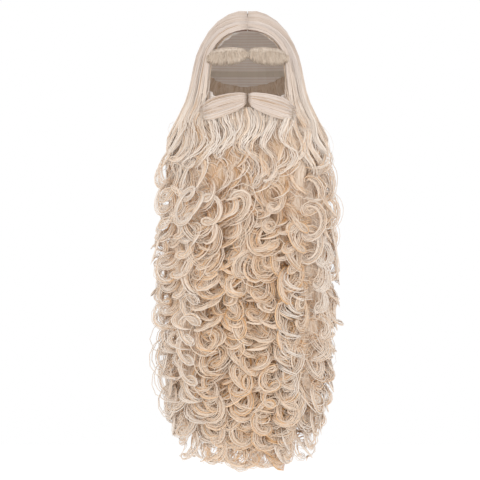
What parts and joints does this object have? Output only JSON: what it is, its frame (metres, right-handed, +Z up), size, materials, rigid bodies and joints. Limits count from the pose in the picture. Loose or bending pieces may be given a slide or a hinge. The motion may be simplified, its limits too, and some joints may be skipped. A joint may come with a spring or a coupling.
{
  "type": "wig and beard set",
  "caption": "Long curly platinum wig on a net cap, with a curly beard on a chin net, a combed moustache in wings and brush-like eyebrows, shown as worn.",
  "frame": {"origin": "inside of the wig's cap at its highest point, where it sits on the top of the head", "axes": "+Z up, the face looks along -Y, +X is the wearer's left"},
  "size_m": [0.3417, 0.2616, 0.8604],
  "materials": {
    "hair": "glossy synthetic hair",
    "brow_hair": "coarse matt synthetic hair",
    "net": "fine brown net",
    "elastic": "woven elastic"
  },
  "bodies": {
    "root": {"wig_cap": "net", "crown_hair_left": "hair", "crown_hair_right": "hair", "side_locks_left": "hair", "side_locks_right": "hair", "back_locks": "hair", "beard_net": "net", "beard_band": "elastic", "beard_locks": "hair", "moustache_left": "hair", "moustache_right": "hair", "eyebrow_left": "brow_hair", "eyebrow_right": "brow_hair"}
  },
  "joints": []
}
